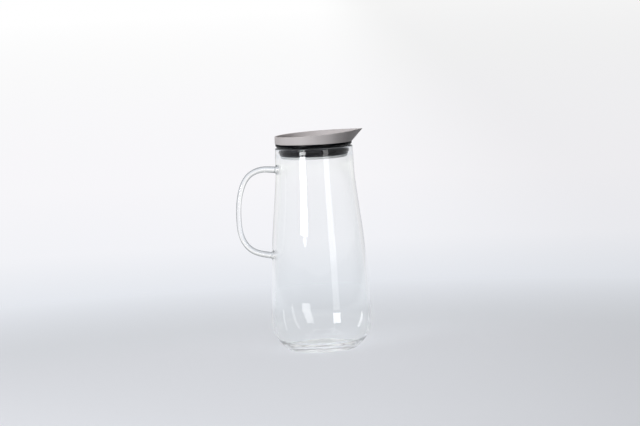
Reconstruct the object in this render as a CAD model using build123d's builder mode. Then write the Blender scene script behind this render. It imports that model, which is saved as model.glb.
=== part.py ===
from build123d import *
from math import cos, radians, sin, sqrt
import os

os.makedirs("parts", exist_ok=True)

# A blown glass water jug with a rod handle and a plug-in pouring lid.
# Millimetres, +Z up, the origin on the table at the centre of the foot, the spout towards +X.

# Glass body: each point of a profile is its radius and height
glass_height = 232.3
foot_inner_r = 35.6
foot_outer_r = 38.4
heel_slope = 0.55
heel_points = ((49.2, 10.0), (54.9, 20.0))
belly_r = 57.5
belly_z = 39.0
side_points = ((56.7, 60.0), (54.4, 100.0), (52.1, 130.0), (49.0, 160.0))
shoulder_r = 46.0
shoulder_z = 189.0
taper = 0.104
neck_r = 44.8
neck_z = 211.0
neck_top_z = 221.0
lip_r = 44.3
lip_z = 226.0
lip_flat = 0.04
wall = 3.1
punt_height = 7.4
floor_height = 12.2
floor_points = ((20.0, 10.0), (35.0, 6.6), (46.2, 11.0), (52.0, 21.5))
inner_belly_z = 41.0
throat_z = 215.0
bore_r = 41.0

# Glass rod handle, turned a little off the line of the spout because the lid sits turned in the neck
handle_turn = 18.0
handle_top_z = 208.4
upper_points = ((63.0, 209.9), (79.2, 203.8), (89.2, 187.0))
grip_point = (93.2, 156.0)
lower_points = ((89.8, 132.7), (79.6, 119.3), (65.0, 113.3))
handle_bottom_r = 53.8
handle_bottom_z = 110.9
top_slope = 0.04
bottom_slope = 0.14
grip_r = 2.85
arm_r = 3.75
arm_swell = 1.5
rod_stations = 16
weld_r = 5.75
weld_sink = 1.5
weld_disc = 0.7
weld_round = 0.8
weld_flare = 2.2
weld_overlap = 0.05

# Pouring lid
collar_r = 44.2
collar_z = 237.0
rim_back_z = 245.4
rise_x = 12.0
rise_z = 247.65
tip_z = 250.5
tip_reach = 56.8
tip_outer_half = 1.2
tip_inner_half = 0.9
tip_wall = 2.6
tip_over = 1.5
tip_past = 0.5
rim_past = 2.0
trim = 9.0
beak_start = 50.0
tip_share = 4.0
rim_wall = 2.1
bowl_draft = 0.3
floor_t = 2.4
floor_drop = 0.9
floor_rim_r = 40.0
skirt_outer_r = 36.4
skirt_inner_r = 34.2
skirt_z = 222.5
groove_h = 1.6

# Core ring, which holds the gasket from below and carries the flap
core_outer_r = 34.15
core_inner_r = 32.2
core_flange_r = 38.6
core_flange_edge = 0.5
core_z = 220.0
core_flange_t = 2.4
ledge_r = 29.6
ledge_t = 1.3
ledge_break = 4.5
seat_gap = 0.3
bead = 0.4
bead_z = 227.0
bead_back = 0.5
bead_lead = 0.7

# Silicone gasket
gasket_top_z = 236.8
gasket_flange_r = 43.7
gasket_flange_t = 2.2
gasket_edge = 0.5
gasket_root_r = 40.1
gasket_root_z = 231.0
gasket_sleeve_r = 39.7
gasket_sleeve_z = 230.2
gasket_lip_r = 40.9
gasket_lip_z = 227.8
gasket_lip_slope = 0.2
gasket_tail_r = 39.5
gasket_tail_z = 225.2
gasket_bottom_r = 39.0
gasket_bottom_z = 222.7

# Tilting flap on its pin
pin_x = -8.0
pin_z = 231.4
pin_r = 1.0
pin_play = 0.05
pin_fit = 0.02
pin_edge = 0.2
pin_end_gap = 0.1
flap_r = 29.9
flap_bottom_z = 232.9
flap_top_z = 234.9
dish_r = 27.0
dish_depth = 0.7
tongue_r = 30.5
tongue_t = 1.0
seal_r = 31.0
seal_lap = 0.1
seal_edge = 0.3
stop_back = 2.9
stop_drop = 2.3
stop_width = 3.4
stop_depth = 4.0
rib_t = 1.4
rib_h = 2.0
rib_length = 32.0
rib_x = 10.0

# Steel counterweight under the flap
post_y = 12.0
post_w = 6.0
post_l = 5.0
post_corner = 1.0
weight_w = 8.0
weight_l = 36.0
weight_z = 221.2
weight_t = 4.4
weight_corner = 3.0
weight_edge = 0.6
screw_r = 1.2
screw_head_r = 2.4
screw_length = 7.2
screw_tip = 0.4
screw_sunk = 0.05
screw_fit = 0.02
thread_fit = 0.01
hole_end_gap = 0.2
socket_r = 0.85
socket_depth = 1.0

# Gap between moulded pieces pressed together, lap of features that join, and reach of cuts past a solid
gap = 0.05
lap = 0.1
past = 1.0


# Glass body, a surface of revolution with a pushed-up base and a fire-polished lip
with BuildSketch(Plane.XZ) as blank_profile:
    with BuildLine():
        foot = Line((0, 0), (foot_outer_r, 0))
        heel = Spline(foot @ 1, *heel_points, (belly_r, belly_z), tangents=((1, heel_slope), (0, 1)))
        side = Spline(heel @ 1, *side_points, (shoulder_r, shoulder_z), tangents=((0, 1), (-taper, 1)))
        shoulder = TangentArc(side @ 1, (neck_r, neck_z), tangent=side % 1)
        neck = Line(shoulder @ 1, (neck_r, neck_top_z))
        necking = Line(neck @ 1, (lip_r, lip_z))
        lip = Line(necking @ 1, (lip_r, glass_height))
        top = Line(lip @ 1, (0, glass_height))
        Line(top @ 1, (0, 0))
    make_face()

with BuildPart() as glass_blank:
    add(blank_profile.sketch)
    revolve(axis=Axis.Z)

with BuildPart() as glass_body:
    add(glass_blank.part)
    with BuildSketch(Plane.XZ):
        with BuildLine():
            crown = TangentArc((0, punt_height), (foot_inner_r, 0), tangent=(1, 0))
            Polyline(crown @ 1, (0, 0), (0, punt_height))
        make_face()
    revolve(axis=Axis.Z, mode=Mode.SUBTRACT)
    with BuildSketch(Plane.XZ):
        with BuildLine():
            floor = Spline(
                (0, floor_height),
                *floor_points,
                (belly_r - wall, inner_belly_z),
                tangents=((1, 0), (0, 1)),
            )
            inside = Spline(
                floor @ 1,
                *((r - wall, z) for r, z in side_points),
                (shoulder_r - wall, shoulder_z),
                tangents=((0, 1), (-taper, 1)),
            )
            throat = TangentArc(inside @ 1, (bore_r, throat_z), tangent=inside % 1)
            bore = Line(throat @ 1, (bore_r, glass_height))
            Polyline(bore @ 1, (0, glass_height), (0, floor_height))
        make_face()
    revolve(axis=Axis.Z, mode=Mode.SUBTRACT)
    rim_edges = glass_body.edges().filter_by(GeomType.CIRCLE).group_by(Axis.Z)[-1]
    fillet(rim_edges, (lip_r - bore_r - lip_flat) / 2)
glass_body.part.label = "glass_body"
export_step(glass_body.part, "parts/glass_body.step")


# Glass handle, a drawn rod bent to a D and flared onto the wall by the flame at both ends
turn = radians(handle_turn)
handle_plane = Plane(origin=(0, 0, 0), x_dir=(-cos(turn), -sin(turn), 0), z_dir=(-sin(turn), cos(turn), 0))
with BuildLine(handle_plane) as handle_line:
    Spline(
        (neck_r - weld_sink, handle_top_z),
        *upper_points,
        grip_point,
        *lower_points,
        (handle_bottom_r - weld_sink, handle_bottom_z),
        tangents=((1, top_slope), (-1, -bottom_slope)),
    )
handle_path = handle_line.line

with BuildPart() as glass_handle:
    for i in range(rod_stations + 1):
        t = i / rod_stations
        rod_r = grip_r + (arm_r - grip_r) * abs(2 * t - 1) ** arm_swell
        with BuildSketch(Plane(handle_path @ t, x_dir=handle_plane.z_dir, z_dir=handle_path % t)):
            Circle(rod_r)
    loft()
    for start, out in ((handle_path @ 0, handle_path % 0), (handle_path @ 1, -(handle_path % 1))):
        weld_plane = Plane(start, x_dir=out, z_dir=handle_plane.z_dir)
        with BuildSketch(weld_plane):
            with BuildLine():
                disc_x = weld_sink + weld_disc
                edge_x = disc_x + weld_round
                flare_x = edge_x + weld_flare
                Polyline((0, 0), (0, weld_r), (disc_x, weld_r))
                TangentArc((disc_x, weld_r), (edge_x, weld_r - weld_round), tangent=(1, 0))
                Spline(
                    (edge_x, weld_r - weld_round),
                    (flare_x, arm_r - weld_overlap),
                    tangents=((-0.15, -1), (1, 0)),
                )
                Polyline((flare_x, arm_r - weld_overlap), (flare_x, 0), (0, 0))
            make_face()
        revolve(axis=Axis(start, out))
    add(glass_blank.part, mode=Mode.SUBTRACT)
glass_handle.part.label = "glass_handle"
export_step(glass_handle.part, "parts/glass_handle.step")


def beaked_outline(radius, reach, tip_half_width):
    """A circle drawn out to a beak towards +X: back arc, two flanks and a small tip."""
    start_x = radius * cos(radians(beak_start))
    start_y = radius * sin(radians(beak_start))
    leave = (sin(radians(beak_start)), -cos(radians(beak_start)))
    with BuildLine() as outline:
        ThreePointArc((start_x, start_y), (-radius, 0), (start_x, -start_y))
        upper = TangentArc((start_x, start_y), (reach - tip_half_width, tip_half_width), tangent=leave)
        lower = TangentArc(
            (start_x, -start_y),
            (reach - tip_half_width, -tip_half_width),
            tangent=(leave[0], -leave[1]),
        )
        ThreePointArc(upper @ 1, (reach, 0), lower @ 1)
    return outline.line


def round_outline(radius):
    """The same four edges on a plain circle, so that the two outlines pair up."""
    start_x = radius * cos(radians(beak_start))
    start_y = radius * sin(radians(beak_start))
    small_x = radius * cos(radians(tip_share))
    small_y = radius * sin(radians(tip_share))
    middle = radians((beak_start + tip_share) / 2)
    with BuildLine() as outline:
        ThreePointArc((start_x, start_y), (-radius, 0), (start_x, -start_y))
        ThreePointArc((start_x, start_y), (radius * cos(middle), radius * sin(middle)), (small_x, small_y))
        ThreePointArc((start_x, -start_y), (radius * cos(middle), -radius * sin(middle)), (small_x, -small_y))
        ThreePointArc((small_x, small_y), (radius, 0), (small_x, -small_y))
    return outline.line


# Lid shell, one moulding: drip collar, bowl with its beaked spout, floor, and the skirt that enters the neck
mould_top_z = tip_z + tip_over
mould_reach = collar_r + (tip_reach - collar_r) / (tip_z - collar_z) * (mould_top_z - collar_z)
bowl_floor_z = collar_z + floor_t
with BuildPart() as lid_shell:
    with BuildSketch(Plane.XY.offset(collar_z)):
        add(round_outline(collar_r))
        make_face()
    with BuildSketch(Plane.XY.offset(mould_top_z)):
        add(beaked_outline(collar_r, mould_reach, tip_outer_half))
        make_face()
    loft(ruled=True)
    with BuildSketch(Plane.XY.offset(bowl_floor_z)):
        add(round_outline(collar_r - rim_wall - bowl_draft))
        make_face()
    with BuildSketch(Plane.XY.offset(mould_top_z)):
        add(beaked_outline(collar_r - rim_wall, mould_reach - tip_wall, tip_inner_half))
        make_face()
    loft(ruled=True, mode=Mode.SUBTRACT)
    with BuildSketch(Plane.XZ):
        with BuildLine():
            back = Line((-collar_r - rim_past, rim_back_z), (rise_x, rise_z))
            rise = TangentArc(back @ 1, (tip_reach + tip_past, tip_z), tangent=back % 1)
            Polyline(rise @ 1, (tip_reach + trim, tip_z + trim), (-collar_r - rim_past, tip_z + trim), back @ 0)
        make_face()
    extrude(amount=2 * collar_r, both=True, mode=Mode.SUBTRACT)
    with BuildSketch(Plane.XZ):
        with BuildLine():
            Polyline(
                (skirt_inner_r, skirt_z),
                (skirt_outer_r, skirt_z),
                (skirt_outer_r, collar_z + past),
                (skirt_inner_r, collar_z + past),
                close=True,
            )
        make_face()
    revolve(axis=Axis.Z)
    with BuildSketch(Plane.XZ):
        with BuildLine():
            Polyline(
                (0, collar_z - past),
                (skirt_inner_r, collar_z - past),
                (skirt_inner_r, bowl_floor_z - floor_drop),
                (floor_rim_r, bowl_floor_z),
                (floor_rim_r, bowl_floor_z + past),
                (0, bowl_floor_z + past),
                close=True,
            )
        make_face()
    revolve(axis=Axis.Z, mode=Mode.SUBTRACT)
    with BuildSketch(Plane.XZ.shift_origin((skirt_inner_r, 0, bead_z))):
        Rectangle(2 * (bead + gap), groove_h)
    revolve(axis=Axis.Z, mode=Mode.SUBTRACT)
lid_shell.part.label = "lid_shell"
export_step(lid_shell.part, "parts/lid_shell.step")


# Core ring, snapped up into the skirt: retaining flange, half-round seat ledges, pin holes and stop lugs
core_top_z = bowl_floor_z - floor_drop
front_ledge_z = flap_bottom_z - seal_lap - seat_gap - ledge_t
rear_ledge_z = flap_top_z + seal_lap + seat_gap
half_disc = 2 * core_outer_r
with BuildPart() as lid_core:
    with BuildSketch(Plane.XZ):
        with BuildLine():
            Polyline(
                (core_inner_r, core_z),
                (core_flange_r - core_flange_edge, core_z),
                (core_flange_r, core_z + core_flange_edge),
                (core_flange_r, core_z + core_flange_t),
                (core_outer_r, core_z + core_flange_t),
                (core_outer_r, bead_z - bead_lead),
                (core_outer_r + bead, bead_z - bead_back),
                (core_outer_r + bead, bead_z),
                (core_outer_r, bead_z + bead_lead),
                (core_outer_r, core_top_z),
                (core_inner_r, core_top_z),
                close=True,
            )
        make_face()
    revolve(axis=Axis.Z)
    for ledge_z, away in ((front_ledge_z, 1), (rear_ledge_z, -1)):
        with BuildSketch(Plane.XY.offset(ledge_z)):
            Circle(core_inner_r + lap)
            Circle(ledge_r, mode=Mode.SUBTRACT)
            with Locations((pin_x + away * (ledge_break - half_disc / 2), 0)):
                Rectangle(half_disc, half_disc, mode=Mode.SUBTRACT)
        extrude(amount=ledge_t)
    with BuildSketch(Plane.XY.offset(core_z + core_flange_t)):
        with Locations((pin_x - stop_back + stop_width / 2, 0)):
            Rectangle(stop_width, 2 * core_inner_r)
        Rectangle(2 * core_inner_r, 2 * (core_inner_r - stop_depth), mode=Mode.SUBTRACT)
        Circle(core_inner_r + lap, mode=Mode.INTERSECT)
    extrude(amount=pin_z - stop_drop - core_z - core_flange_t)
    with Locations(Plane.XZ.shift_origin((pin_x, 0, pin_z))):
        Cylinder(pin_r + pin_fit, 2 * core_flange_r, mode=Mode.SUBTRACT)
lid_core.part.label = "lid_core"
export_step(lid_core.part, "parts/lid_core.step")


# Silicone gasket: sleeve round the skirt, a rounded sealing lip, and a flange between collar and glass
gasket_bore_r = skirt_outer_r + gap
with BuildPart() as gasket:
    with BuildSketch(Plane.XZ):
        with BuildLine():
            Polyline(
                (gasket_bore_r, gasket_bottom_z),
                (gasket_bore_r, gasket_top_z),
                (gasket_flange_r, gasket_top_z),
                (gasket_flange_r, gasket_top_z - gasket_flange_t),
                (gasket_root_r, gasket_root_z),
                (gasket_sleeve_r, gasket_sleeve_z),
            )
            Spline(
                (gasket_sleeve_r, gasket_sleeve_z),
                (gasket_lip_r, gasket_lip_z),
                (gasket_tail_r, gasket_tail_z),
                tangents=((gasket_lip_slope, -1), (-gasket_lip_slope, -1)),
            )
            Polyline(
                (gasket_tail_r, gasket_tail_z),
                (gasket_bottom_r, gasket_bottom_z),
                (gasket_bore_r, gasket_bottom_z),
            )
        make_face()
    revolve(axis=Axis.Z)
    outer_edge = gasket.edges().filter_by(GeomType.CIRCLE).filter_by(lambda e: e.radius > gasket_flange_r - lap)
    fillet(outer_edge, gasket_edge)
gasket.part.label = "gasket"
export_step(gasket.part, "parts/gasket.step")


# Flap, a dished disc that rocks on the pin, with two posts for the counterweight
post_bottom_z = weight_z + weight_t
tongue_z = (flap_bottom_z + flap_top_z - tongue_t) / 2
with BuildPart() as flap:
    with BuildSketch(Plane.XZ):
        with BuildLine():
            dish = TangentArc((0, flap_top_z - dish_depth), (dish_r, flap_top_z), tangent=(1, 0))
            Polyline(
                dish @ 1,
                (flap_r, flap_top_z),
                (flap_r, tongue_z + tongue_t),
                (tongue_r, tongue_z + tongue_t),
                (tongue_r, tongue_z),
                (flap_r, tongue_z),
                (flap_r, flap_bottom_z),
                (0, flap_bottom_z),
                dish @ 0,
            )
        make_face()
    revolve(axis=Axis.Z)
    with BuildSketch(Plane.XY.offset(post_bottom_z)):
        with Locations((pin_x, post_y), (pin_x, -post_y)):
            RectangleRounded(post_l, post_w, post_corner)
    extrude(amount=flap_bottom_z - post_bottom_z + lap)
    with BuildSketch(Plane.XY.offset(flap_bottom_z - rib_h)):
        with Locations((rib_x, post_y), (rib_x, -post_y)):
            Rectangle(rib_length, rib_t)
        with Locations((pin_x, 0)):
            Rectangle(rib_t, 2 * post_y)
    extrude(amount=rib_h + lap)
    with Locations(Plane.XZ.shift_origin((pin_x, 0, pin_z))):
        Cylinder(pin_r + pin_play, 2 * seal_r, mode=Mode.SUBTRACT)
    with Locations((pin_x, post_y, post_bottom_z), (pin_x, -post_y, post_bottom_z)):
        Cylinder(screw_r + thread_fit, 2 * (screw_length - weight_t + hole_end_gap), mode=Mode.SUBTRACT)
flap.part.label = "flap"
export_step(flap.part, "parts/flap.step")


# Silicone seal, a channel ring pulled over the tongue round the flap
with BuildPart() as flap_seal:
    with BuildSketch(Plane.XZ):
        with BuildLine():
            Polyline(
                (flap_r + gap, flap_bottom_z - seal_lap),
                (seal_r - seal_edge, flap_bottom_z - seal_lap),
                (seal_r, flap_bottom_z + seal_edge),
                (seal_r, flap_top_z - seal_edge),
                (seal_r - seal_edge, flap_top_z + seal_lap),
                (flap_r + gap, flap_top_z + seal_lap),
                (flap_r + gap, tongue_z + tongue_t + gap),
                (tongue_r + gap, tongue_z + tongue_t + gap),
                (tongue_r + gap, tongue_z - gap),
                (flap_r + gap, tongue_z - gap),
                close=True,
            )
        make_face()
    revolve(axis=Axis.Z)
flap_seal.part.label = "flap_seal"
export_step(flap_seal.part, "parts/flap_seal.step")


# Stainless hinge pin, held between the walls of the skirt
pin_length = 2 * (sqrt(skirt_inner_r**2 - (abs(pin_x) + pin_r) ** 2) - pin_end_gap)
with BuildPart() as hinge_pin:
    with Locations(Plane.XZ.shift_origin((pin_x, 0, pin_z))):
        Cylinder(pin_r, pin_length)
    chamfer(hinge_pin.edges().filter_by(GeomType.CIRCLE), pin_edge)
hinge_pin.part.label = "hinge_pin"
export_step(hinge_pin.part, "parts/hinge_pin.step")


# Steel counterweight, screwed to the posts below the pin
with BuildPart() as counterweight:
    with BuildSketch(Plane.XY.offset(weight_z)):
        with Locations((pin_x, 0)):
            RectangleRounded(weight_w, weight_l, weight_corner)
    extrude(amount=weight_t)
    chamfer(counterweight.faces().sort_by(Axis.Z)[0].edges(), weight_edge)
    with Locations(*(Plane(origin=(pin_x, y, weight_z), z_dir=(0, 0, -1)) for y in (post_y, -post_y))):
        CounterSinkHole(screw_r + screw_fit, screw_head_r + screw_fit)
counterweight.part.label = "counterweight"
export_step(counterweight.part, "parts/counterweight.step")


# Two countersunk screws with hexagon sockets
head_t = screw_head_r - screw_r
with BuildPart() as weight_screws:
    for y in (post_y, -post_y):
        with BuildSketch(Plane((pin_x, y, weight_z), x_dir=(1, 0, 0), z_dir=(0, -1, 0))):
            with BuildLine():
                Polyline(
                    (0, screw_sunk),
                    (screw_head_r - screw_sunk, screw_sunk),
                    (screw_r, head_t),
                    (screw_r, screw_length - screw_tip),
                    (screw_r - screw_tip, screw_length),
                    (0, screw_length),
                    close=True,
                )
            make_face()
        revolve(axis=Axis((pin_x, y, 0), (0, 0, 1)))
        with BuildSketch(Plane.XY.offset(weight_z + screw_sunk)):
            with Locations((pin_x, y)):
                RegularPolygon(socket_r, 6)
        extrude(amount=socket_depth, mode=Mode.SUBTRACT)
weight_screws.part.label = "weight_screws"
export_step(weight_screws.part, "parts/weight_screws.step")
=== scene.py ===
import math

import bpy
import numpy as np
from mathutils import Matrix, Vector


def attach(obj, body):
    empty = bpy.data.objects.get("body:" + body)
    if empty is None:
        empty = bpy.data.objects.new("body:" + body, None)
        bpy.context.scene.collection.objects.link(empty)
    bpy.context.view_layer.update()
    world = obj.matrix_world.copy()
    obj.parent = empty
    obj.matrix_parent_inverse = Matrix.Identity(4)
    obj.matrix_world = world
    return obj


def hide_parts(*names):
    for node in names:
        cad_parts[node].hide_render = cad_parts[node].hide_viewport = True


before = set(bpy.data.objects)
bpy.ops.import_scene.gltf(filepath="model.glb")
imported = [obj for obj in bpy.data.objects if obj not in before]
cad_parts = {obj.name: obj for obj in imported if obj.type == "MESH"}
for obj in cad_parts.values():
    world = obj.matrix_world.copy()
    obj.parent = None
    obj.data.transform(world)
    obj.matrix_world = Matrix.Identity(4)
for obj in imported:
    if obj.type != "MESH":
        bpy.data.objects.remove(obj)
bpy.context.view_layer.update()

# Camera
# It stands 3.2 m in front of the jug and a little above it, looks slightly down, and is turned a
# little about its own axis, so the jug leans to the left in the picture as it does in the photograph.
look_down = math.radians(5.48)
roll = math.radians(2.75)
ahead = Vector((0.0, math.cos(look_down), -math.sin(look_down)))
level_up = Vector((0.0, math.sin(look_down), math.cos(look_down)))
right = math.cos(roll) * Vector((1.0, 0.0, 0.0)) - math.sin(roll) * level_up
up = math.sin(roll) * Vector((1.0, 0.0, 0.0)) + math.cos(roll) * level_up
stand = (0.0036, -3.2, 0.4625)
camera = bpy.data.objects.new("camera", bpy.data.cameras.new("camera"))
camera.data.lens = 157.9
camera.data.sensor_width = 36.0
camera.data.clip_start = 0.05
camera.data.clip_end = 200.0
camera.matrix_world = Matrix.Translation(stand) @ Matrix((right, up, -ahead)).transposed().to_4x4()
bpy.context.scene.collection.objects.link(camera)
bpy.context.scene.camera = camera
bpy.context.scene.view_settings.view_transform = "Standard"

# Light caught in the thick glass of lip and foot turns many times before it comes out
turns = 64
for kind in ("max", "glossy", "transmission"):
    setattr(bpy.context.scene.cycles, kind + "_bounces", turns)


# Glass body
# One blown vessel of clear glass, turned on its axis while hot: a foot ring with a pushed-up base,
# a full belly, a straight taper to a short upright neck, and a lip melted round in the flame.
MM = 0.001
foot_in, foot_out, heel_slope, punt_z, floor_z = 35.6, 38.4, 0.55, 7.4, 12.2
belly_r, belly_z, inner_belly_z, wall = 57.5, 39.0, 41.0, 3.1
shoulder_r, shoulder_z, taper = 46.0, 189.0, 0.104
neck_r, neck_z, bore_r, throat_z, lip_r, lip_z = 44.8, 211.0, 41.0, 215.0, 44.3, 232.3


def smooth_curve(points, leave, arrive, steps):
    """A curve through all the points: a cubic between each two, whose slope and bend run on from one
    to the next, and whose directions at the two ends are given. The points are spaced by distance."""
    points = np.asarray(points, float)
    gaps = np.linalg.norm(np.diff(points, axis=0), axis=1)
    rise = np.diff(points, axis=0) / gaps[:, None]
    count = len(points)
    system = np.eye(count)
    slopes = np.zeros_like(points)
    slopes[0] = np.asarray(leave, float) / np.linalg.norm(leave)
    slopes[-1] = np.asarray(arrive, float) / np.linalg.norm(arrive)
    for i in range(1, count - 1):
        system[i, i - 1:i + 2] = gaps[i], 2 * (gaps[i - 1] + gaps[i]), gaps[i - 1]
        slopes[i] = 3 * (gaps[i] * rise[i - 1] + gaps[i - 1] * rise[i])
    slopes = np.linalg.solve(system, slopes)
    along = np.r_[0.0, np.cumsum(gaps)]
    at = np.linspace(0.0, along[-1], steps)
    i = np.clip(np.searchsorted(along, at, side="right") - 1, 0, count - 2)
    t = ((at - along[i]) / gaps[i])[:, None]
    h = gaps[i][:, None]
    return (
        (2 * t**3 - 3 * t**2 + 1) * points[i]
        + (t**3 - 2 * t**2 + t) * h * slopes[i]
        + (3 * t**2 - 2 * t**3) * points[i + 1]
        + (t**3 - t**2) * h * slopes[i + 1]
    )


def arc(start, leave, end, steps):
    """A circular arc that leaves start along a direction and ends at end: the radius is the square
    of the chord over twice its part across that direction."""
    start = np.asarray(start, float)
    along = np.asarray(leave, float) / np.linalg.norm(leave)
    across = np.array([-along[1], along[0]])
    chord = np.asarray(end, float) - start
    radius = chord @ chord / (2 * chord @ across)
    turn = np.linspace(0, 2 * math.atan2(chord @ across, chord @ along), steps)[:, None]
    return start + radius * (np.sin(turn) * along + (1 - np.cos(turn)) * across)


def skin(name, rows, body, finish, closed=False):
    """A mesh from rows of points that each run once round: neighbours make four-sided faces. Where the
    first or last row is one point, a fan closes it; a closed skin joins its last row to its first. The
    faces are turned outwards by the sign of the volume that they enclose."""
    rows = np.asarray(rows, float) * MM
    poles = [np.ptp(row, axis=0).max() < 1e-9 for row in (rows[0], rows[-1])]
    body_rows = rows[int(poles[0]):len(rows) - int(poles[1])]
    deep, wide = body_rows.shape[:2]
    place = np.arange(deep * wide).reshape(deep, wide)
    lower = place if closed else place[:-1]
    upper = np.roll(place, -1, 0) if closed else place[1:]
    quads = np.stack([lower, np.roll(lower, -1, 1), np.roll(upper, -1, 1), upper], -1).reshape(-1, 4)
    points = body_rows.reshape(-1, 3)
    fans = []
    ends = ((poles[0], place[0], rows[0, 0], True), (poles[1], place[-1], rows[-1, 0], False))
    for there, ring, tip, flip in ends:
        if there:
            fan = np.stack([ring, np.roll(ring, -1), np.full(wide, len(points))], -1)
            fans.append(fan[:, ::-1] if flip else fan)
            points = np.vstack([points, tip])
    flat = [quads[:, [0, 1, 2]], quads[:, [0, 2, 3]], *fans]
    a, b, c = (points[np.vstack(flat)[:, k]] for k in range(3))
    inside_out = np.einsum("ij,ij->", a, np.cross(b, c)) < 0
    faces = [list(f) for part in (quads, *fans) for f in (part[:, ::-1] if inside_out else part).tolist()]
    mesh = bpy.data.meshes.new(name)
    mesh.from_pydata(points, [], faces)
    mesh.polygons.foreach_set("use_smooth", np.ones(len(faces), bool))
    mesh.update()
    piece = bpy.data.objects.new(name, mesh)
    bpy.context.scene.collection.objects.link(piece)
    mesh.materials.append(finish)
    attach(piece, body)
    return piece


def turned(profile, around):
    """Rows for a turned shape: each point of the profile, its radius and height, goes once round the
    upright axis."""
    angle = np.linspace(0, 2 * math.pi, around, endpoint=False)
    radius, height = np.asarray(profile, float).T
    x, y = np.outer(radius, np.cos(angle)), np.outer(radius, np.sin(angle))
    return np.stack([x, y, np.outer(height, np.ones(around))], -1)


class Wire:
    """One output of a node. Sums, differences, products, quotients and powers of wires and numbers
    are Math nodes, so shader maths reads as a formula."""

    def __init__(self, finish, socket):
        self.finish = finish
        self.socket = socket

    def maths(self, operation, *values):
        """One Math node over wires and numbers."""
        return self.finish.add("ShaderNodeMath", {"operation": operation}, dict(enumerate(values)))

    def __add__(self, other):
        return self.maths("ADD", self, other)

    def __sub__(self, other):
        return self.maths("SUBTRACT", self, other)

    def __rsub__(self, other):
        return self.maths("SUBTRACT", other, self)

    def __mul__(self, other):
        return self.maths("MULTIPLY", self, other)

    def __truediv__(self, other):
        return self.maths("DIVIDE", self, other)

    def __pow__(self, other):
        return self.maths("POWER", self, other)

    __radd__ = __add__
    __rmul__ = __mul__

    def step(self, low, high):
        """0 below low and 1 above high, with a soft turn at both."""
        return self.finish.add(
            "ShaderNodeMapRange", {"interpolation_type": "SMOOTHSTEP"}, {"Value": self, 1: low, 2: high}
        )


class Finish:
    """The nodes of one finish, of a material or of the world."""

    def __init__(self, owner):
        owner.use_nodes = True
        self.owner = owner
        self.tree = owner.node_tree
        self.tree.nodes.clear()

    def add(self, kind, settings=None, values=None, out=0):
        """A node of a kind, with its settings first and then the values or wires of its sockets, by
        name or number. It gives back one of its outputs as a wire."""
        node = self.tree.nodes.new(kind)
        for key, value in (settings or {}).items():
            if key == "stops":
                ramp = node.color_ramp
                while len(ramp.elements) < len(value):
                    ramp.elements.new(0.5)
                for element, (position, shade) in zip(ramp.elements, value):
                    element.position = position
                    element.color = (shade, shade, shade, 1.0) if np.isscalar(shade) else (*shade, 1.0)
            else:
                setattr(node, key, value)
        for key, value in (values or {}).items():
            if isinstance(value, Wire):
                self.tree.links.new(value.socket, node.inputs[key])
            else:
                node.inputs[key].default_value = value
        return None if out is None else Wire(self, node.outputs[out])

    def place(self):
        """Object coordinates, in metres from the origin of the frame."""
        return self.add("ShaderNodeTexCoord", out="Object")

    def noise(self, where, scale, detail=2.0, rough=0.5):
        """Soft noise from 0 to 1, finer with a larger scale."""
        values = {"Vector": where, "Scale": scale, "Detail": detail, "Roughness": rough}
        return self.add("ShaderNodeTexNoise", {"noise_dimensions": "3D"}, values)

    def blend(self, share, first, second):
        """A colour between two, by a share from 0 to 1."""
        return self.add("ShaderNodeMix", {"data_type": "RGBA"}, {0: share, 6: first, 7: second}, out=2)

    def stretched(self, where, factors):
        """The same coordinates, longer or shorter along each axis."""
        return self.add("ShaderNodeVectorMath", {"operation": "MULTIPLY"}, {0: where, 1: factors})

    def bump(self, height, depth):
        """The surface as if it stood out by a height from 0 to 1 times a depth in metres."""
        return self.add("ShaderNodeBump", None, {"Strength": 1.0, "Distance": depth, "Height": height})

    def show(self, surface):
        """Joins the surface to the output, and gives back the material or world."""
        world = isinstance(self.owner, bpy.types.World)
        kind = "ShaderNodeOutputWorld" if world else "ShaderNodeOutputMaterial"
        self.add(kind, None, {"Surface": surface}, None)
        return self.owner


# Clear glass: nearly colourless, with the slow waves and faint upright draw lines of blown ware.
# Light from the lamps passes through it to the floor, a little dimmed.
# Where its surface is seen at a slant its colour is painted darker by the shade that is given for its edge:
# painted shade, which for the rod is stronger than real glass has.
def clear_glass(name, wave_scale, wave_depth, painted_edge_shade):
    glass = Finish(bpy.data.materials.new(name))
    where = glass.place()
    waves = glass.noise(where, wave_scale, 1.0, 0.4)
    lines = glass.noise(glass.stretched(where, (1.0, 1.0, 0.12)), 160.0, 2.0, 0.5)
    tint = glass.blend(glass.noise(where, 18.0, 2.0), (0.982, 0.990, 0.990, 1.0), (0.992, 0.998, 1.0, 1.0))
    slant = glass.add("ShaderNodeLayerWeight", None, {"Blend": 0.5}, out="Facing").step(0.15, 0.50)
    tint = glass.blend(slant, tint, painted_edge_shade)
    surface = glass.add(
        "ShaderNodeBsdfPrincipled",
        None,
        {
            "Base Color": tint,
            "Roughness": 0.0,
            "IOR": 1.474,
            "Transmission Weight": 1.0,
            "Normal": glass.bump(waves + lines * 0.02, wave_depth),
        },
    )
    passing = glass.add("ShaderNodeBsdfTransparent", None, {"Color": (0.975, 0.98, 0.982, 1.0)})
    lamp_ray = glass.add("ShaderNodeLightPath", out="Is Shadow Ray")
    return glass.show(glass.add("ShaderNodeMixShader", None, {0: lamp_ray, 1: surface, 2: passing}))


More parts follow.
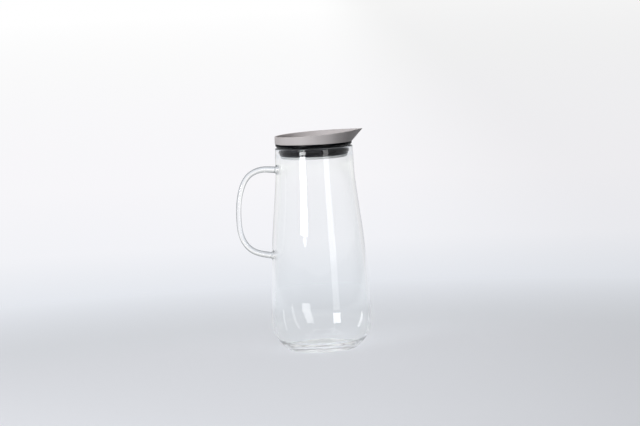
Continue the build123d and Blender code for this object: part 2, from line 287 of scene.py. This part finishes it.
heel_points = [(foot_out, 0.0), (49.2, 10.0), (54.9, 20.0), (belly_r, belly_z)]
side_points = [
    (belly_r, belly_z), (56.7, 60.0), (54.4, 100.0), (52.1, 130.0), (49.0, 160.0), (shoulder_r, shoulder_z),
]
floor_points = [
    (0.0, floor_z), (20.0, 10.0), (35.0, 6.6), (46.2, 11.0), (52.0, 21.5), (belly_r - wall, inner_belly_z),
]
outer_wall = np.vstack([
    smooth_curve(heel_points, (1.0, heel_slope), (0, 1), 40),
    smooth_curve(side_points, (0, 1), (-taper, 1), 80)[1:],
    arc((shoulder_r, shoulder_z), (-taper, 1), (neck_r, neck_z), 14)[1:],
    [(neck_r, 214.5), (neck_r, 218.0)],
    smooth_curve([(neck_r, 220.0), (lip_r, 226.0)], (0, 1), (0, 1), 8),
    [(lip_r, 228.5)],
])
rim_turn = np.linspace(0, math.pi, 18)
lip_half, lip_middle = (lip_r - bore_r) / 2, (lip_r + bore_r) / 2
rim = np.stack([lip_middle + lip_half * np.cos(rim_turn), lip_z - lip_half * (1 - np.sin(rim_turn))], -1)
inside_points = [(r - wall, z) for r, z in side_points]
inside_points[0] = (belly_r - wall, inner_belly_z)
inner_wall = np.vstack([
    smooth_curve(floor_points, (1, 0), (0, 1), 64),
    smooth_curve(inside_points, (0, 1), (-taper, 1), 80)[1:],
    arc((shoulder_r - wall, shoulder_z), (-taper, 1), (bore_r, throat_z), 14)[1:],
    [(bore_r, 219.0), (bore_r, 223.0), (bore_r, 227.0)],
])
foot_ring = [(foot_in + 0.1, 0.0), ((foot_in + foot_out) / 2, 0.0)]
base = np.vstack([arc((0, punt_z), (1, 0), (foot_in - 0.3, 0.12), 22), foot_ring])
vessel = np.vstack([base, outer_wall, rim, inner_wall[::-1]])
body_glass = clear_glass("clear_glass_blown", 55.0, 0.00004, (0.975, 0.985, 0.985, 1.0))
glass_body = skin("jug_glass", turned(vessel, 240), "jug", body_glass)
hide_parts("glass_body")


# Glass handle
# A drawn rod of the same glass, bent to a D while soft and pressed against the wall in the flame at
# both ends, where it spreads into a small flared disc. It thins a little towards the grip.
handle_turn = math.radians(18.0)
grip_r, arm_r, arm_swell, weld_r, weld_gap = 2.85, 3.75, 1.5, 5.75, 0.03
weld_disc, weld_round, weld_flare = 0.7, 0.8, 2.2
handle_points = [
    (43.3, 208.4), (63.0, 209.9), (79.2, 203.8), (89.2, 187.0), (93.2, 156.0),
    (89.8, 132.7), (79.6, 119.3), (65.0, 113.3), (52.3, 110.9),
]


def bent_rod(points, leave, arrive, steps, around):
    """A round rod along an upright curve. Its radius grows from grip to arms with the power 1.5 of the
    distance from the middle. Close to each end the radius follows the flare of the weld, and the rows
    are pushed along the rod until they lie on the wall of the vessel, by less the further out they are."""
    line = smooth_curve(points, leave, arrive, 2001)
    run = np.r_[0.0, np.cumsum(np.linalg.norm(np.diff(line, axis=0), axis=1))]
    wall_r = np.interp(line[:, 1], outer_wall[:, 1], outer_wall[:, 0])
    first, last = (run[np.where(line[:, 0] > wall_r)[0][k]] for k in (0, -1))
    bend = weld_disc + weld_round * np.sin(np.linspace(0.2, 1.4, 6))
    flare = np.r_[0.0, 0.35, weld_disc, bend, 1.6, 1.9, 2.3, 2.8, 3.4, 4.1, 5.0]
    flare_t = np.clip((flare - weld_disc - weld_round) / weld_flare, 0, 1)
    flare_r = np.where(
        flare <= weld_disc,
        weld_r,
        np.where(
            flare < weld_disc + weld_round,
            weld_r - weld_round + np.sqrt(np.clip(weld_round**2 - (flare - weld_disc) ** 2, 0, None)),
            arm_r + (weld_r - weld_round - arm_r) * (1 - flare_t) ** 2.6,
        ),
    )
    middle = np.linspace(first + flare[-1] + 1.0, last - flare[-1] - 1.0, steps)
    at = np.r_[first + flare, middle, (last - flare)[::-1]]
    share = (at - first) / (last - first)
    radius = grip_r + (arm_r - grip_r) * np.abs(2 * share - 1) ** arm_swell
    radius[:len(flare)] *= flare_r / arm_r
    radius[-len(flare):] *= flare_r[::-1] / arm_r
    hold = np.clip(1 - np.minimum(at - first, last - at) / 4.0, 0, 1) ** 1.5
    closing = np.linspace(0, 1, 9)[:-1]
    at = np.r_[np.full(8, first), at, np.full(8, last)]
    radius = np.r_[closing * radius[0], radius, closing[::-1] * radius[-1]]
    hold = np.r_[np.ones(8), hold, np.ones(8)]
    centre = np.stack([np.interp(at, run, line[:, k]) for k in (0, 1)], -1)
    heading = np.stack([np.interp(at, run, np.gradient(line[:, k], run)) for k in (0, 1)], -1)
    heading /= np.linalg.norm(heading, axis=1)[:, None]
    angle = np.linspace(0, 2 * math.pi, around, endpoint=False)
    side = radius[:, None] * np.sin(angle)
    lift = radius[:, None] * np.cos(angle)
    reach = centre[:, :1] - lift * heading[:, 1:]
    height = centre[:, 1:] + lift * heading[:, :1]
    outward = heading * np.where(np.arange(len(at)) < len(at) / 2, 1.0, -1.0)[:, None]
    push = np.zeros_like(reach)
    for _ in range(6):
        x = reach + push * outward[:, :1]
        z = height + push * outward[:, 1:]
        push += np.interp(z, outer_wall[:, 1], outer_wall[:, 0]) + weld_gap - np.hypot(x, side)
    push = (push + np.minimum(at - first, last - at)[:, None]) * hold[:, None]
    x = reach + push * outward[:, :1]
    z = height + push * outward[:, 1:]
    return np.stack([
        -x * math.cos(handle_turn) + side * math.sin(handle_turn),
        -x * math.sin(handle_turn) - side * math.cos(handle_turn),
        z,
    ], -1)


# The rod's edges get a strong painted shade, for the dark lines along its sides
rod_glass = clear_glass("clear_glass_drawn", 90.0, 0.00003, (0.29, 0.30, 0.31, 1.0))
rod_rows = bent_rod(handle_points, (1, 0.04), (-1, -0.14), 110, 48)
glass_handle = skin("handle_glass", rod_rows, "jug", rod_glass)
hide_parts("glass_handle")


# Gasket
# One black silicone ring, moulded: a flange that the collar rests on, a sleeve round the skirt of
# the lid, and a rounded lip that seals against the bore. Silicone is satin and shows dust a little.
def rounded(corners, cuts, steps=5):
    """Rows along a closed line of corners, each corner cut back by its own length on both sides and
    bridged by a parabola. A row close to each side of a bridge keeps the flats flat. Corners may be
    pairs, or whole rows of points."""
    corners = np.asarray(corners, float)
    before, after = np.roll(corners, 1, 0), np.roll(corners, -1, 0)
    rows = []
    t = np.linspace(0, 1, steps)
    for i, (corner, cut) in enumerate(zip(corners, cuts)):
        if cut == 0:
            rows.append(corner[None])
            continue
        back, on = before[i] - corner, after[i] - corner
        back_long = np.linalg.norm(back, axis=-1, keepdims=True)
        on_long = np.linalg.norm(on, axis=-1, keepdims=True)
        back_cut = np.minimum(cut, 0.45 * back_long) / back_long * back
        on_cut = np.minimum(cut, 0.45 * on_long) / on_long * on
        bridge = [corner + (1 - s) ** 2 * back_cut + s**2 * on_cut for s in t]
        rows.append(np.stack([corner + 1.1 * back_cut, *bridge, corner + 1.1 * on_cut]))
    return np.vstack(rows)


gasket_corners = [
    (36.45, 222.7), (36.45, 236.8), (43.7, 236.8), (43.7, 234.6), (40.1, 231.0), (39.75, 229.8),
    (40.9, 227.8), (39.5, 225.2), (39.0, 222.7),
]
gasket_cuts = [0.3, 0.3, 0.5, 0.5, 0.8, 0.5, 1.1, 0.6, 0.5]
silicone = Finish(bpy.data.materials.new("black_silicone_satin"))
where = silicone.place()
dust = silicone.noise(where, 900.0, 3.0, 0.6).step(0.52, 0.74)
grain = silicone.noise(where, 2600.0, 2.0)
black_silicone = silicone.show(silicone.add(
    "ShaderNodeBsdfPrincipled",
    None,
    {
        "Base Color": silicone.blend(dust, (0.0018, 0.002, 0.0025, 1.0), (0.006, 0.0065, 0.0075, 1.0)),
        "Roughness": 0.16 + 0.12 * silicone.noise(where, 240.0, 2.0),
        "Specular IOR Level": 0.12,
        "IOR": 1.34,
        "Normal": silicone.bump(grain, 0.00002),
    },
))
gasket_rows = turned(rounded(gasket_corners, gasket_cuts), 220)
gasket = skin("seal_ring", gasket_rows, "gasket_ring", black_silicone, closed=True)
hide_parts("gasket")


# Lid shell
# One moulding in matt, warm grey plastic with a fine soft-touch grain: a drip collar whose wall
# leans out to a beaked spout, a shallow bowl with a sloping floor, and a skirt that enters the neck.
collar_r, collar_z, tip_z, tip_reach, rim_wall, bowl_draft = 44.2, 237.0, 250.5, 56.8, 2.1, 0.3
floor_t, floor_drop, floor_rim_r = 2.4, 0.9, 40.0
skirt_in, skirt_out, skirt_z = 34.2, 36.4, 222.5
groove_r, groove_low, groove_high = 34.65, 226.2, 227.8
beak_start, tip_share = math.radians(50.0), math.radians(4.0)
mould_top_z = tip_z + 1.5
bowl_z = collar_z + floor_t
outer_reach = collar_r + (tip_reach - collar_r) / (tip_z - collar_z) * (mould_top_z - collar_z)


def outlines(radius, reach, tip_half, back, flank, tip):
    """Two closed outlines of equal count, a plain circle and the same circle drawn out to a beak
    along X. Both have a back arc, two flanks, which are arcs that leave the circle at its tangent on
    the beaked one, and a small round tip, each divided evenly."""
    turn = np.linspace(beak_start, 2 * math.pi - beak_start, back)
    rear = radius * np.stack([np.cos(turn), np.sin(turn)], -1)
    near = np.linspace(-beak_start, -tip_share, flank)[1:]
    near_round = radius * np.stack([np.cos(near), np.sin(near)], -1)
    leave = (math.sin(beak_start), math.cos(beak_start))
    near_beak = arc(rear[-1], leave, (reach - tip_half, -tip_half), flank)[1:]
    small = np.linspace(-1, 1, tip)[1:-1]
    tip_round = radius * np.stack([np.cos(small * tip_share), np.sin(small * tip_share)], -1)
    bow = np.linspace(-math.pi / 2, math.pi / 2, tip)[1:-1]
    tip_beak = np.stack([reach - tip_half + tip_half * np.cos(bow), tip_half * np.sin(bow)], -1)
    mirror = np.array([1.0, -1.0])
    plain = np.vstack([rear, near_round, tip_round, near_round[::-1] * mirror])[:-1]
    beaked = np.vstack([rear, near_beak, tip_beak, near_beak[::-1] * mirror])[:-1]
    return plain, beaked


def leaning(plain, beaked, low, height):
    """The outline at a height: it passes evenly from the plain one at low to the beaked one at the top
    of the mould."""
    share = ((height - low) / (mould_top_z - low))[:, None]
    return np.column_stack([plain + (beaked - plain) * share, height])


rise = arc((12.0, 247.65), (58.2, 2.25), (57.3, tip_z), 60)
rim_line = np.vstack([[(-46.2, 245.4)], rise])
outer_pair = outlines(collar_r, outer_reach, 1.2, 150, 56, 9)
inner_pair = outlines(collar_r - rim_wall, outer_reach - 2.6, 0.9, 150, 56, 9)
inner_low = inner_pair[0] * (collar_r - rim_wall - bowl_draft) / (collar_r - rim_wall)
level = np.ones(len(outer_pair[0]))


def rim_height(pair, plain, low):
    """Where the leaning wall meets the rim's curve, found by going back and forth a few times."""
    height = level * 247.0
    for _ in range(8):
        height = np.interp(leaning(plain, pair[1], low, height)[:, 0], rim_line[:, 0], rim_line[:, 1])
    return height


def ring_at(radius, height):
    """A circle on the same stations as the outline."""
    return np.column_stack([outer_pair[0] * radius / collar_r, level * height])


outer_rim = leaning(*outer_pair, collar_z, rim_height(outer_pair, outer_pair[0], collar_z))
inner_rim = leaning(inner_low, inner_pair[1], bowl_z, rim_height(inner_pair, inner_low, bowl_z))
half_up = leaning(*outer_pair, collar_z, (outer_rim[:, 2] + collar_z) / 2)
half_down = leaning(inner_low, inner_pair[1], bowl_z, (inner_rim[:, 2] + bowl_z) / 2)
lid_corners = np.stack([
    ring_at(collar_r, collar_z), half_up, outer_rim, inner_rim, half_down,
    np.column_stack([inner_low, level * bowl_z]),
    ring_at(floor_rim_r, bowl_z), ring_at(skirt_in, bowl_z - floor_drop),
    ring_at(skirt_in, groove_high), ring_at(groove_r, groove_high),
    ring_at(groove_r, groove_low), ring_at(skirt_in, groove_low),
    ring_at(skirt_in, skirt_z), ring_at(skirt_out, skirt_z), ring_at(skirt_out, collar_z),
])
lid_cuts = [0.5, 0, 0.62, 0.62, 0, 1.1, 0.8, 0.35, 0.1, 0.1, 0.1, 0.1, 0.3, 0.3, 0.3]
stone = Finish(bpy.data.materials.new("stone_plastic_matt"))
where = stone.place()
cloud = stone.noise(where, 60.0, 3.0, 0.55)
speckle = stone.noise(where, 1900.0, 2.0, 0.6).step(0.5, 0.8)
grain = stone.noise(where, 3200.0, 3.0, 0.6)
warm = stone.blend(cloud, (0.500, 0.463, 0.460, 1.0), (0.535, 0.500, 0.498, 1.0))
stone_plastic = stone.show(stone.add(
    "ShaderNodeBsdfPrincipled",
    None,
    {
        "Base Color": stone.blend(speckle * 0.5, warm, (0.60, 0.565, 0.56, 1.0)),
        "Roughness": 0.50 + 0.14 * cloud,
        "IOR": 1.45,
        "Normal": stone.bump(grain, 0.00003),
    },
))
lid_shell = skin("lid_bowl", rounded(lid_corners, lid_cuts), "lid", stone_plastic, closed=True)
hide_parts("lid_shell")


# Core ring, hinge pin and flap
# The ring is moulded in a paler plastic and snaps up into the skirt. It holds the gasket from below
# and carries the stainless pin. The flap on it is of the shell's plastic, with a seal of the gasket's
# silicone, and its weight and screws are stainless. These six are the solids' own meshes.
pale = Finish(bpy.data.materials.new("pale_plastic_satin"))
where = pale.place()
cloud = pale.noise(where, 80.0, 3.0)
grain = pale.noise(where, 2400.0, 2.0)
pale_plastic = pale.show(pale.add(
    "ShaderNodeBsdfPrincipled",
    None,
    {
        "Base Color": pale.blend(cloud, (0.385, 0.393, 0.395, 1.0), (0.425, 0.433, 0.435, 1.0)),
        "Roughness": 0.40 + 0.12 * cloud,
        "Normal": pale.bump(grain, 0.00002),
    },
))
steel = Finish(bpy.data.materials.new("stainless_steel_brushed"))
where = steel.place()
brush = steel.noise(steel.stretched(where, (1.0, 0.03, 1.0)), 2600.0, 3.0, 0.6)
stain = steel.noise(where, 130.0, 2.0)
stainless_steel = steel.show(steel.add(
    "ShaderNodeBsdfPrincipled",
    None,
    {
        "Base Color": steel.blend(stain, (0.52, 0.52, 0.53, 1.0), (0.62, 0.62, 0.62, 1.0)),
        "Metallic": 1.0,
        "Roughness": 0.24 + 0.20 * brush,
        "Normal": steel.bump(brush, 0.00001),
    },
))
for node, finish in (
    ("flap", stone_plastic),
    ("lid_core", pale_plastic),
    ("hinge_pin", stainless_steel),
    ("counterweight", stainless_steel),
    ("weight_screws", stainless_steel),
    ("flap_seal", black_silicone),
):
    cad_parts[node].data.materials.clear()
    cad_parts[node].data.materials.append(finish)


# Floor and backdrop
# A sheet of smooth paper, painted paler with distance as a lit sweep would look: painted light. The camera
# sees it pale all round, but rays that the glass bends meet greyer painted tones beside and before the jug,
# and rays that it mirrors meet dark painted ones: painted reflections. Both were chosen for the front view.
def painted_dark_zone(x, y, angle):
    """Where rays through the glass meet painted dark tones: 1 on the floor far out, and 0 near the jug
    and behind it. It begins nearest on the right, further out on the left and furthest before the jug,
    and reaches closer to straight behind on the right."""
    left = 1 - angle.step(-0.3, 0.3)
    front = (angle * angle).step(4.0, 6.2)
    far_out = ((x * x + y * y) ** 0.5 - 0.4 * left * (1 - front) - 1.05 * front).step(1.1, 1.4)
    return far_out * (1 - (1 - angle.step(0.75, 1.15)) * angle.step(-1.45, -1.0))


def bent_tone(finish, angle):
    """The painted dark tone that the glass bends in from the floor far out: light grey at the left, darker
    at the right and darkest before the jug."""
    side = finish.blend(angle.step(-0.3, 1.6), (0.68, 0.69, 0.70, 1.0), (0.50, 0.505, 0.51, 1.0))
    return finish.blend((angle * angle).step(4.0, 6.2), side, (0.35, 0.355, 0.36, 1.0))


def mirrored_tone(finish, angle):
    """The painted reflection tone that the glass mirrors from afar: grey straight behind the jug, nearly
    black beside and before it."""
    front = (angle * angle).step(0.6, 1.6)
    return finish.blend(front, (0.42, 0.43, 0.44, 1.0), (0.030, 0.031, 0.034, 1.0))


reach, floor_corners, below_foot = 60.0, 96, 0.0002
floor_angle = np.linspace(0, 2 * math.pi, floor_corners, endpoint=False)
floor_mesh = bpy.data.meshes.new("floor")
floor_x, floor_y = reach * np.cos(floor_angle), reach * np.sin(floor_angle)
floor_edge = np.column_stack([floor_x, floor_y, np.full(floor_corners, -below_foot)])
floor_mesh.from_pydata(floor_edge, [], [list(range(floor_corners))])
floor = bpy.data.objects.new("floor", floor_mesh)
bpy.context.scene.collection.objects.link(floor)
paper = Finish(bpy.data.materials.new("pale_paper"))
apart = paper.add("ShaderNodeSeparateXYZ", None, {0: paper.place()})
x, y = apart, Wire(paper, apart.socket.node.outputs[1])
away = (x * x + (y + 0.35) * (y + 0.35)) ** 0.5
angle = paper.add("ShaderNodeMath", {"operation": "ARCTAN2"}, {0: x, 1: y})
sheet_stops = [
    (0.032, (0.655, 0.682, 0.716)), (0.045, (0.735, 0.76, 0.805)), (0.0556, (0.795, 0.818, 0.865)),
    (0.085, (0.89, 0.895, 0.93)), (0.15, (0.93, 0.923, 0.948)), (0.47, (0.955, 0.955, 0.96)),
    (0.94, (1.0, 1.0, 1.0)),
]
sweep, apron = 18.0, 4.0
# Painted shade: the sheet is up to this share darker on the right of the jug, where the light falls off
painted_shade_share = 0.09
painted_right_shade = 1 - painted_shade_share * x.step(0.0, 0.55)
sheet = paper.add("ShaderNodeValToRGB", {"stops": sheet_stops}, {0: away / sweep})
sheet = paper.add("ShaderNodeVectorMath", {"operation": "SCALE"}, {0: sheet, "Scale": painted_right_shade})
# To the camera and the glass the sheet glows in part near the jug and wholly further out: painted light.
# To other light it is a matt sheet, painted much darker for rays that bounce off it, so that it throws less
# light up onto the jug: painted shade.
share = paper.add("ShaderNodeValToRGB", {"stops": [(0.10, 0.4), (0.24, 1.0)]}, {0: away / apron})
seen = paper.add("ShaderNodeLightPath", out="Is Camera Ray")
mirrored = paper.add("ShaderNodeLightPath", out="Is Glossy Ray")
passing = paper.add("ShaderNodeLightPath", out="Is Transmission Ray")
shade = paper.add("ShaderNodeLightPath", out="Is Diffuse Ray")
# Through the glass the sheet is painted a little brighter: painted light
brighter = paper.add("ShaderNodeVectorMath", {"operation": "SCALE"}, {0: sheet, "Scale": 1.03})
bent_in = paper.blend(painted_dark_zone(x, y, angle), brighter, bent_tone(paper, angle))
mirror_far = ((x * x + y * y) ** 0.5).step(1.0, 1.5)
mirror_in = paper.blend(mirror_far, sheet, mirrored_tone(paper, angle))
far_colour = paper.blend(seen, paper.blend(passing, mirror_in, bent_in), sheet)
far_light = paper.add("ShaderNodeEmission", None, {"Color": far_colour})
# Near the jug too the glass sees the sheet painted a little brighter: painted light
near_colour = paper.blend(passing, (0.79, 0.79, 0.825, 1.0), (0.80, 0.80, 0.835, 1.0))
near_colour = paper.blend(shade, near_colour, (0.34, 0.345, 0.35, 1.0))
# The same painted shade on the right of the jug
near_colour = paper.add("ShaderNodeVectorMath", {"operation": "SCALE"}, {0: near_colour, "Scale": painted_right_shade})
near = paper.add("ShaderNodeBsdfDiffuse", None, {"Color": near_colour})
floor_mesh.materials.append(
    paper.show(paper.add("ShaderNodeMixShader", None, {0: share * (seen + mirrored), 1: near, 2: far_light}))
)

world = bpy.data.worlds.new("studio")
bpy.context.scene.world = world
air = Finish(world)
apart = air.add("ShaderNodeSeparateXYZ", None, {0: air.add("ShaderNodeTexCoord", out="Generated")})
y, z = (Wire(air, apart.socket.node.outputs[k]) for k in (1, 2))
angle = air.add("ShaderNodeMath", {"operation": "ARCTAN2"}, {0: apart, 1: y})
seen = air.add("ShaderNodeLightPath", out="Is Camera Ray")
mirrored = air.add("ShaderNodeLightPath", out="Is Glossy Ray")
passing = air.add("ShaderNodeLightPath", out="Is Transmission Ray")
# Above the sheet the camera sees near white. The glass bends in painted white low down and painted grey
# higher up, and mirrors painted dark tones: painted reflections. Everything else gets a faint fill.
bent_in = air.blend(z.step(0.05, 0.18), (0.985, 0.985, 0.99, 1.0), (0.66, 0.67, 0.68, 1.0))
above = air.blend(z.step(0.2, 0.6), mirrored_tone(air, angle), (0.45, 0.45, 0.46, 1.0))
shown = air.blend(seen, air.blend(passing, above, bent_in), (0.97, 0.97, 0.975, 1.0))
shown = air.add("ShaderNodeBackground", None, {"Color": shown})
fill = air.add("ShaderNodeBackground", None, {"Color": (0.97, 0.98, 1.0, 1.0), "Strength": 0.22})
air.show(air.add("ShaderNodeMixShader", None, {0: seen + mirrored, 1: fill, 2: shown}))


# Lamps
# The light comes from broad panels at the left front and behind, and a large one overhead. The others
# are there for the glass to mirror: the two upright strips, the two patches over the foot and the three
# thin arcs beside them.
def soft_panel(
    name, bearing, distance, low, high, width, radiance, lights=False, tint=(1.0, 1.0, 1.0), lean=0.0
):
    """An upright panel that faces the jug. Its bearing is measured from the camera's side, positive to
    the right, and its power is what gives the named radiance over its area. One that lights isn't
    mirrored, and one that is mirrored doesn't light."""
    lamp = bpy.data.lights.new(name, "AREA")
    lamp.shape = "RECTANGLE"
    lamp.size = width
    lamp.size_y = high - low
    lamp.energy = radiance * width * (high - low) * math.pi
    lamp.color = tint
    panel = bpy.data.objects.new(name, lamp)
    angle = math.radians(bearing)
    place = Vector((math.sin(angle) * distance, -math.cos(angle) * distance, (low + high) / 2))
    facing = Vector((-place.x, -place.y, 0)).to_track_quat("-Z", "Y").to_matrix()
    leaning = Matrix.Rotation(math.radians(lean), 3, "Z")
    panel.matrix_world = Matrix.Translation(place) @ (facing @ leaning).to_4x4()
    panel.visible_camera = False
    panel.visible_diffuse = lights
    panel.visible_glossy = not lights
    panel.visible_transmission = False
    bpy.context.scene.collection.objects.link(panel)


cool = (0.97, 0.985, 1.0)
soft_panel("key", -38.0, 1.9, 0.35, 1.05, 0.8, 16.5, True, cool)
soft_panel("back", 165.0, 2.0, 0.35, 1.15, 1.0, 4.5, True)
soft_panel("key_tall", -34.9, 2.0, 0.300, 1.00, 0.64, 17.0, False, cool)
soft_panel("key_low", -33.5, 0.45, 0.176, 0.217, 0.140, 17.0, False, cool)
soft_panel("key_tail", -31.6, 0.45, 0.145, 0.176, 0.053, 8.0, False, cool)
soft_panel("fill_right", 34.2, 1.1, 0.125, 0.50, 0.31, 3.4)
soft_panel("fill_right_low", 34.4, 1.1, 0.0, 0.125, 0.29, 2.4)
soft_panel("foot_right", 30.6, 0.23, 0.001, 0.036, 0.060, 10.0)
soft_panel("foot_left_top", -31.0, 0.23, 0.039, 0.055, 0.070, 5.8)
soft_panel("foot_left_middle", -27.6, 0.23, 0.025, 0.039, 0.060, 5.2)
soft_panel("foot_left_low", -23.6, 0.23, 0.006, 0.025, 0.056, 4.6)
soft_panel("arc_left", -50.0, 0.13, 0.0, 0.058, 0.010, 2.6, lean=34.0)
soft_panel("arc_far_left", -76.0, 0.13, 0.0, 0.046, 0.009, 2.0, lean=15.0)
soft_panel("arc_right", 78.0, 0.115, 0.0, 0.038, 0.013, 4.2, lean=-34.0)
overhead = bpy.data.lights.new("overhead", "AREA")
overhead.shape = "RECTANGLE"
overhead.size, overhead.size_y = 2.2, 2.2
overhead_radiance = 1.4
overhead.energy = overhead_radiance * overhead.size * overhead.size_y * math.pi
overhead_panel = bpy.data.objects.new("overhead", overhead)
overhead_panel.location = (-0.2, -0.2, 2.4)
overhead_panel.visible_camera = False
overhead_panel.visible_glossy = False
bpy.context.scene.collection.objects.link(overhead_panel)
